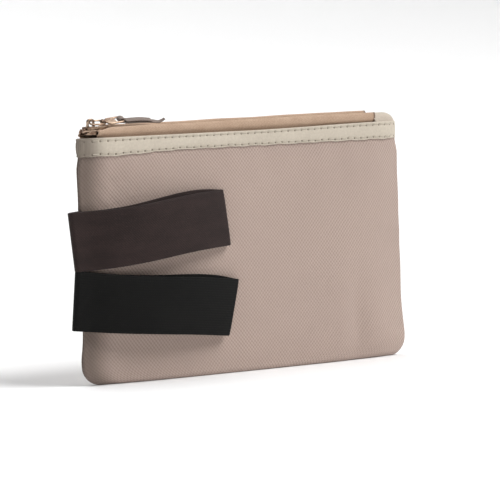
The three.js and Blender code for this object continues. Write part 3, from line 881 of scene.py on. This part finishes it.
def zip_coil(side):
    """A nylon spiral lying along its tape, its turns reaching past the middle to mesh with the other's."""
    left, right = COIL_LOW.x - 1.5, COIL_HIGH.x
    turns = int((right - left) / COIL_PITCH)
    offset = 0.0 if side == FRONT else 0.5
    middle = side * (CHAIN_HALF - COIL_OVERLAP) / 2
    wide = (CHAIN_HALF + COIL_OVERLAP) / 2 - COIL_WIRE
    tall = (COIL_HIGH.z - COIL_LOW.z) / 2 - COIL_WIRE
    line = []
    for i in range(turns * TURN_POINTS + 1):
        turn = i / TURN_POINTS
        angle = 2 * math.pi * turn
        x = left + (turn + offset) * COIL_PITCH
        reach = math.copysign(abs(math.cos(angle)) ** 0.75, math.cos(angle))
        line.append(Vector((x, middle + side * wide * reach, CHAIN_Z + tall * math.sin(angle))))
    shape = Shape()
    shape.sweep(framed(line, (1, 0, 0.001)), round_section(COIL_WIRE, 6))
    name = side_name(side)
    obj = shape.piece(name + "_coil", NYLON, sharp=80)
    dress(obj, "zip_coil", name + "_zip_coil")
    place_half(obj, side)


def rounded_copy(node, name, body, radius, slot):
    """A metal piece of the model with its edges eased."""
    mesh = frame["nodes"][node].data.copy()
    mesh.name = name
    tidy = bmesh.new()
    tidy.from_mesh(mesh)
    bmesh.ops.remove_doubles(tidy, verts=tidy.verts, dist=1e-6)
    bmesh.ops.dissolve_limit(tidy, angle_limit=math.radians(3), verts=tidy.verts, edges=tidy.edges)
    tidy.to_mesh(mesh)
    tidy.free()
    mesh.materials.clear()
    mesh.materials.append(METAL)
    mesh.shade_smooth()
    obj = add_object(name, mesh)
    ease = obj.modifiers.new("eased edges", "BEVEL")
    ease.width = radius * MM
    ease.segments = 2
    ease.limit_method = "ANGLE"
    ease.angle_limit = math.radians(28)
    ease.harden_normals = True
    dress(obj, slot, node)
    if body == "bag_back":
        bend(obj, mouth_share)
    else:
        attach(obj, body)


ARCH_THICK = 0.95


def slider_crown():
    """The arch over the slider that holds the pull's link."""
    low, high = box_mm("slider_crown")
    foot = low.z - 0.5
    top = high.z - ARCH_THICK / 2
    left, right = low.x + ARCH_THICK / 2, high.x - ARCH_THICK / 2
    route = [
        (right, foot),
        (right, lerp(foot, top, 0.55)),
        (right - 0.15, lerp(foot, top, 0.86)),
        (right - 0.9, top),
        (lerp(left, right, 0.5), top + 0.05),
        (left + 0.8, top - 0.1),
        (left + 0.05, lerp(foot, top, 0.82)),
        (left - 0.1, lerp(foot, top, 0.5)),
        (left - 0.15, foot),
    ]
    line = curve_through([Vector((x, 0, z)) for x, z in route], 5)
    shape = Shape()
    frames = []
    for point, across, out in framed(line, (0, 1, 0)):
        spread = 1 + 0.5 * clamp(1 - (point.z - foot) / 1.6)
        frames.append((point, across * spread, out))
    shape.sweep(frames, tape_section(high.y - low.y + 0.3, ARCH_THICK, 4))
    obj = shape.piece("slider_arch", METAL, sharp=50)
    dress(obj, "slider_metal", "slider_crown")
    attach(obj, "slider")


def rounded_loop(x0, x1, half, z, radius):
    """A rounded rectangle of points in a level plane."""
    corners = [(x1 - radius, half - radius, 0), (x0 + radius, half - radius, 1)]
    corners += [(x0 + radius, radius - half, 2), (x1 - radius, radius - half, 3)]
    points = []
    for cx, cy, quarter in corners:
        for t in steps(6):
            a = math.pi / 2 * (quarter + t)
            points.append(Vector((cx + radius * math.cos(a), cy + radius * math.sin(a), z)))
    return points


def ring(shape, points, section):
    up = Vector((0, 0, 1))
    frames = []
    count = len(points)
    for i, point in enumerate(points):
        along = (points[(i + 1) % count] - points[i - 1]).normalized()
        frames.append((point, up, along.cross(up)))
    shape.sweep(frames, section, closed=True)


def joint(name):
    return next(j for j in frame["joints"] if j["name"] == name)


def pivot_of(name):
    return Vector(joint(name)["pos_m"]) / MM


# The pull is drawn level from its pivot, then leaned to the front about its own length.
PULL_AXIS = Vector(joint("pull_link_swing")["axis"])
PULL_LEAN = Matrix.Rotation(math.atan2(-PULL_AXIS.z, -PULL_AXIS.y), 3, "X")
LINK_PIVOT = pivot_of("pull_link_swing")
TAB_PIVOT = pivot_of("pull_tab_swing")
TAIL_PIVOT = pivot_of("pull_tail_swing")
LINK_WIRE = 0.5  # radius
LINK_HALF = 2.3  # from the link's middle to its side bars
TAB_HALF = 3.3
TAB_BAR = 0.55  # radius of the tab's side bars
EYE_RADIUS = 1.1  # of the tab's eye, round the link
EYE_WIDTH = 2.4
EYE_THICK = 0.62
PLATE_STATIONS = ((1.0, 2.3), (1.8, 2.5), (2.5, 3.8), (3.6, 5.5), (6.6, 5.6), (7.0, 5.4))  # x and width
TAIL_WIDTH = 4.0
TAIL_THICK = 0.65
TAIL_APART = 0.85  # between the tail's two layers, and under the lower one


# The tab's thin plate cut across: shares of its half width, and heights.
PLATE_OUTLINE = ((-0.9, 0.4), (0, 0.42), (0.9, 0.4), (1, 0), (0.9, -0.4), (0, -0.42), (-0.9, -0.4), (-1, 0))


def lean_pull(shape):
    shape.points = [LINK_PIVOT + PULL_LEAN @ (p - LINK_PIVOT) for p in shape.points]


def level(point):
    """Where a point of the leaned pull lies when the pull is level."""
    return LINK_PIVOT + PULL_LEAN.inverted() @ (point - LINK_PIVOT)


def pull_link():
    shape = Shape()
    loop = rounded_loop(LINK_PIVOT.x, TAB_PIVOT.x, LINK_HALF, LINK_PIVOT.z, 1.4)
    ring(shape, loop, round_section(LINK_WIRE, 10))
    lean_pull(shape)
    obj = shape.piece("link_ring", METAL, sharp=60)
    dress(obj, "slider_metal", "pull_link")
    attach(obj, "pull_link")


def pull_tab():
    """A flat stirrup: an eye round the link, a plate, two side bars and an end bar for the tail."""
    reach = level(TAIL_PIVOT) - TAB_PIVOT
    tilt = Matrix.Rotation(math.atan2(reach.z, reach.x), 3, Vector((0, -1, 0)))
    shape = Shape()
    loop = rounded_loop(2.4, reach.length + TAB_BAR, TAB_HALF - TAB_BAR, 0.0, 1.3)
    ring(shape, loop, [(a * 0.95, b * 1.3) for a, b in round_section(TAB_BAR, 10)])
    rows = [[Vector((x, a * wide / 2, b)) for a, b in PLATE_OUTLINE] for x, wide in PLATE_STATIONS]
    start = shape.grid(rows, closed=True)
    count = len(rows[0])
    shape.cap(range(start, start + count))
    shape.cap(range(start + (len(rows) - 1) * count, start + len(rows) * count), flip=True)
    frames = []
    for along, up in round_section(1, 20):
        spoke = Vector((along, 0, up))
        frames.append((spoke * EYE_RADIUS, Vector((0, 1, 0)), spoke))
    shape.sweep(frames, tape_section(EYE_WIDTH, EYE_THICK, 3), closed=True)
    shape.points = [tilt @ p + TAB_PIVOT for p in shape.points]
    lean_pull(shape)
    obj = shape.piece("tab_stirrup", METAL, sharp=50)
    dress(obj, "slider_metal", "pull_tab")
    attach(obj, "pull_tab")


def pull_tail():
    """A ribbon threaded through the tab: both ends lie along the zip and the lower one is longer."""
    pivot = level(TAIL_PIVOT)
    base = box_mm("zip_end_tab")[1].z + TAIL_APART
    over = base + TAIL_APART
    x, z = pivot.x, pivot.z
    route = [
        (x + 25.6, base + 1.5),
        (x + 24.2, base + 0.45),
        (x + 22.4, base - 0.35),
        (x + 19.6, base - 0.1),
        (x + 14, base + 0.1),
        (x + 8, base + 0.1),
        (x + 3.4, base + 0.1),
        (x + 1.1, z - 1.25),
        (x - 1.0, z - 1.1),
        (x - 1.6, z + 0.05),
        (x - 0.7, z + 1.05),
        (x + 0.9, z + 0.85),
        (x + 3.0, over + 0.45),
        (x + 7.5, over + 0.4),
        (x + 12.5, over + 0.45),
        (x + 18.0, over - 0.1),
    ]
    line = curve_through([Vector((px, 0, pz)) for px, pz in route], 5)
    shape = Shape()
    frames = []
    for point, across, out in framed(line, (0, 1, 0)):
        near = clamp(1 - abs(point.x - x) / 4)
        frayed = smooth((point.x - x - 19) / 7)
        sway = Vector((0, 0.3 * math.sin((point.x - x) / 6) * (1 - near) - 0.5 * frayed, 0))
        frames.append((point + sway, across * (1 - 0.12 * near) * (1 - 0.6 * frayed), out))
    shape.sweep(frames, tape_section(TAIL_WIDTH, TAIL_THICK, 6))
    lean_pull(shape)
    obj = shape.piece("tail_ribbon", TAIL_RIBBON, sharp=60)
    dress(obj, "tail_fabric", "pull_tail")
    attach(obj, "pull_tail")


CORNER_TURN = 8.0  # radius of the bag's top corner at the zip's far end


def end_tab():
    """The fabric tab folded over the zip's far end, cut slanting where it meets the zip."""
    low, high = box_mm("zip_end_tab")
    shape = Shape()
    right = BAG_HALF - 0.95
    turn_from = right - CORNER_TURN
    crest = high.z - 0.25
    lines = []
    for t in steps(30):
        line = []
        for v in steps(40):
            angle = math.pi * v
            rise = math.sin(angle) ** 0.45
            x = lerp(low.x + 0.4 - 2.4 * rise, right, t)
            past = clamp((x - turn_from) / CORNER_TURN)
            top = crest - CORNER_TURN * (1 - math.sqrt(1 - past**2)) * 0.75
            depth = half_depth(min(x, right - 1), BAG_HEIGHT) + 0.45
            pinch = lerp(1, 0.86, rise) * lerp(1, 0.75, past**3)
            line.append(Vector((x, -depth * pinch * math.cos(angle), lerp(CLOTH_TOP - 0.6, top, rise))))
        lines.append(line)
    shape.grid(lines, [lerp(0, 15, t) for t in steps(30)], running(lines[15]))
    obj = shape.piece("zip_end_cover", TAB_RIBBON, sharp=60)
    thicken(obj, 0.8)
    dress(obj, "ribbon", "zip_end_tab")
    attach(obj, "bag_front")


# ---- Elastic loops ----
ELASTIC_WIDTH = 30.0
ELASTIC_THICK = 1.0
LAYER_APART = 1.15
SEAM_SIDE_RADIUS = 0.9  # of the inner layer's turn, at its middle
END_APART = 1.9  # between the layers at a loop's far end


def loop_line(fold, end_x, bulge):
    """The band's middle line seen from above: out of the seam, round the fold, along the front and back.

    Each entry is a point, how far it turns with the loop, and its share of the length, negative on the
    way back.
    """
    seam_x = -BAG_HALF + 3
    outer_radius = SEAM_SIDE_RADIUS + LAYER_APART
    count = 30

    def rest(x):
        lying = half_depth(x, BAG_HEIGHT * 0.5) + 0.5 + ELASTIC_THICK / 2
        return -max(lying, SEAM_SIDE_RADIUS - fold.y)

    def turn(radius, sign):
        angles = [math.pi / 2 + math.pi * t for t in steps(12)]
        arc = [Vector((fold.x + radius * math.cos(a), fold.y + radius * math.sin(a), 0)) for a in angles]
        return arc if sign > 0 else arc[::-1]

    def sewn(from_x, to_x, radius):
        return [(Vector((lerp(from_x, to_x, t), fold.y + radius, 0)), 0.0, 0.0) for t in steps(4)]

    line = sewn(seam_x, fold.x, SEAM_SIDE_RADIUS)[:-1]
    line += [(p, t, 0.0) for p, t in zip(turn(SEAM_SIDE_RADIUS, 1), steps(12))]
    for t in steps(count)[1:]:
        x = lerp(fold.x, end_x, t)
        line.append((Vector((x, rest(x), 0)), 1.0, t))
    half_apart = END_APART / 2
    centre_y = rest(end_x) - half_apart
    for i in range(1, 6):
        a = math.pi / 2 - math.pi * i / 6
        point = Vector((end_x + half_apart * math.cos(a), centre_y + half_apart * math.sin(a), 0))
        line.append((point, 1.0, 1.0))
    for t in reversed(steps(count)[1:]):
        x = lerp(fold.x, end_x, t)
        apart = lerp(LAYER_APART, END_APART, t) + bulge * math.sin(math.pi * t) ** 0.85
        line.append((Vector((x, rest(x) - apart, 0)), 1.0, -t))
    line += [(p, t, 0.0) for p, t in zip(turn(outer_radius, -1), reversed(steps(12)))]
    return line + sewn(fold.x, seam_x, outer_radius)[1:]


def elastic_loop(name, tilt, length, bulge, material, slot, sway, peek, skew):
    """One loop of doubled elastic.

    sway bends it in its own plane, peek lifts the layer behind, and skew slants its far end.
    """
    fold = pivot_of(name + "_swing")
    end_x = fold.x + length
    lean = Matrix.Rotation(math.radians(-tilt), 3, "Y")
    frames = []
    shares = []
    line = loop_line(fold, end_x, bulge)
    points = [p for p, _, _ in line]
    for (point, across, out), (_, share, t) in zip(framed(points, (0, 0, 1)), line):
        reach = abs(t)
        lift = -sway * math.sin(2 * math.pi * reach)
        if t > 0:
            lift += peek * math.sin(math.pi * reach**3)
        placed = lean @ Vector((point.x - fold.x, point.y - fold.y, lift))
        frames.append((placed + fold, lean @ across, lean @ out))
        shares.append(share)
    shape = Shape()
    section = tape_section(ELASTIC_WIDTH, ELASTIC_THICK, 16)
    shape.sweep(frames, section)
    for i, share in enumerate(shares):
        for j, (a, _) in enumerate(section):
            p = shape.points[i * len(section) + j]
            edge = abs(a) / (ELASTIC_WIDTH / 2)
            p.z += math.copysign(0.5, a) * edge * clamp(1 - (p.x - fold.x) / 30)
            p.x += skew * a / ELASTIC_WIDTH * smooth((p.x - fold.x) / length)
            flutter = 0.22 * noise.noise(Vector((p.x / 9, math.copysign(3, a), share + 5)))
            p.y -= (0.45 * (1 - edge**4) + flutter * edge**3) * smooth((p.x - fold.x - 3) / 14)
    obj = shape.piece(name + "_band", material, sharp=70)
    dress(obj, slot, name, name + "_root")

    def follow(co):
        p = co / MM - fold
        if p.x > 0.05:
            return 1.0 if p.y < 0 else 0.0
        return clamp(math.atan2(-p.x, p.y) / math.pi)

    bend(obj, follow)


# ---- Putting it together ----
for half in (FRONT, BACK):
    panel(half)
    lining(half)
    ribbon_band(half)
    half_name = side_name(half)
    stitch_row(half, ROW_SHARES[1], half_name + "_upper_stitches")
    stitch_row(half, ROW_SHARES[0], half_name + "_lower_stitches")
    zip_tape(half)
    zip_coil(half)
    rounded_copy(half_name + "_top_stop", half_name + "_stop", "bag_" + half_name, 0.3, "slider_metal")
rounded_copy("bottom_stop", "end_staple", "bag_front", 0.15, "slider_metal")
rounded_copy("slider_body", "slider_shell", "slider", 0.25, "slider_metal")
slider_crown()
pull_link()
pull_tab()
pull_tail()
end_tab()
elastic_loop("upper_loop", 5.5, 84.0, 6.0, BROWN_ELASTIC, "brown_elastic", sway=0.7, peek=1.4, skew=-0.6)
elastic_loop("lower_loop", -6.0, 86.5, 6.0, BLACK_ELASTIC, "black_elastic", sway=0.3, peek=1.5, skew=4.0)


# ---- Studio ----
def backdrop():
    """A round pale floor that curves up into a low wall all the way round."""
    floor_radius = 3000
    bend_radius = 500
    wall_top = 700
    profile = [(600, 0), (1500, 0), (floor_radius, 0)]
    for t in steps(10)[1:]:
        angle = math.pi / 2 * t
        profile.append((floor_radius + bend_radius * math.sin(angle), bend_radius * (1 - math.cos(angle))))
    profile.append((floor_radius + bend_radius, wall_top))
    shape = Shape()
    spokes = 96
    lines = [[Vector((x, y, z)) for x, y in round_section(r, spokes)] for r, z in profile]
    start = shape.grid(lines, closed=True)
    shape.cap(range(start, start + spokes))
    floor = shape.piece("studio_floor", studio_paper(), sharp=180)


def sun(name, towards, strength, softness):
    data = bpy.data.lights.new(name, "SUN")
    data.energy = strength
    data.angle = math.radians(softness)
    obj = add_object(name, data)
    obj.rotation_mode = "QUATERNION"
    obj.rotation_quaternion = (-Vector(towards)).to_track_quat("-Z", "Y")


def camera():
    """A long lens a little above the table and to the left of the bag's front."""
    yaw = math.radians(30.52)
    pitch = math.radians(3.98)
    roll = math.radians(-2.05)
    aim = Vector((2.98, 0, 64.47)) * MM
    distance = 1.438
    back = Vector((-math.sin(yaw) * math.cos(pitch), -math.cos(yaw) * math.cos(pitch), math.sin(pitch)))
    data = bpy.data.cameras.new("camera")
    data.sensor_width = 36
    data.lens = 192.4
    data.clip_end = 20
    obj = add_object("camera", data)
    obj.location = aim + back * distance
    obj.rotation_mode = "QUATERNION"
    upright = (-back).to_track_quat("-Z", "Y").to_matrix()
    obj.rotation_quaternion = (upright @ Matrix.Rotation(roll, 3, "Z")).to_quaternion()
    bpy.context.scene.camera = obj


def surround(near_loops, far_side):
    """Soft light from all round, dimmer on the loops' side."""
    world = bpy.data.worlds.new("studio")
    world.use_nodes = True
    tree = world.node_tree
    shade = tree.nodes["Background"]
    direction = tree.nodes.new("ShaderNodeTexCoord")
    split = tree.nodes.new("ShaderNodeSeparateXYZ")
    span = tree.nodes.new("ShaderNodeMapRange")
    tree.links.new(direction.outputs["Generated"], split.inputs[0])
    tree.links.new(split.outputs["X"], span.inputs["Value"])
    spans = {"From Min": -0.8, "From Max": 0.8, "To Min": near_loops, "To Max": far_side}
    for socket, value in spans.items():
        span.inputs[socket].default_value = value
    tree.links.new(span.outputs["Result"], shade.inputs["Strength"])
    bpy.context.scene.world = world


backdrop()
camera()
surround(near_loops=0.13, far_side=0.7)
sun("key", (0.62, -0.8, 1.15), 2.75, 32)
sun("top", (0.05, 0.25, 1.0), 1.75, 50)
bpy.context.scene.view_settings.view_transform = "Standard"
